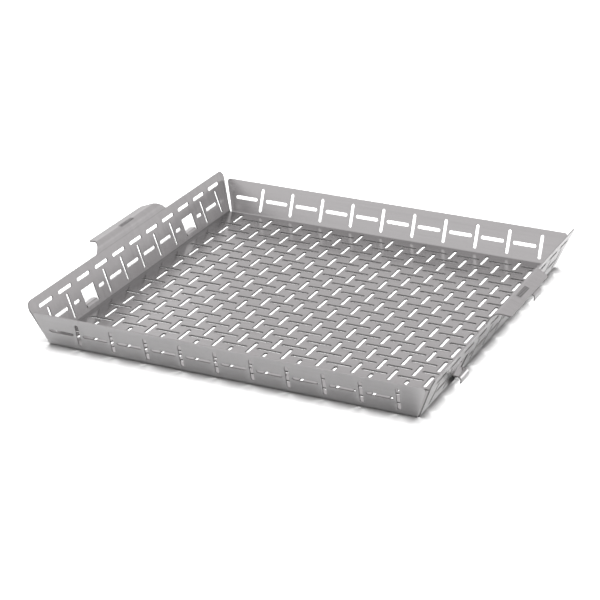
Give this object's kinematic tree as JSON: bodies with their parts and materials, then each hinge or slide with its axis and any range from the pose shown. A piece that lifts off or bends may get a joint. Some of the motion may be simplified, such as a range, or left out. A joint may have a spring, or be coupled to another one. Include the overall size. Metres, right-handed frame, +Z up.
{
  "type": "grill basket",
  "caption": "Shallow open grilling basket of slotted sheet steel, with outward-leaning walls, curled side handles and small J-shaped hooks.",
  "frame": {"origin": "middle of the floor panel's underside, on the resting surface", "axes": "+Z up, +X towards the right handle, +Y towards the rear wall"},
  "size_m": [0.3592, 0.3464, 0.0417],
  "materials": {
    "brushed_stainless": "satin stainless sheet with a fine brushed grain"
  },
  "bodies": {
    "root": {"floor_panel": "brushed_stainless", "front_wall": "brushed_stainless", "rear_wall": "brushed_stainless", "left_wall": "brushed_stainless", "right_wall": "brushed_stainless", "left_handle": "brushed_stainless", "right_handle": "brushed_stainless", "left_front_hook": "brushed_stainless", "left_rear_hook": "brushed_stainless", "right_front_hook": "brushed_stainless", "right_rear_hook": "brushed_stainless"}
  },
  "joints": []
}
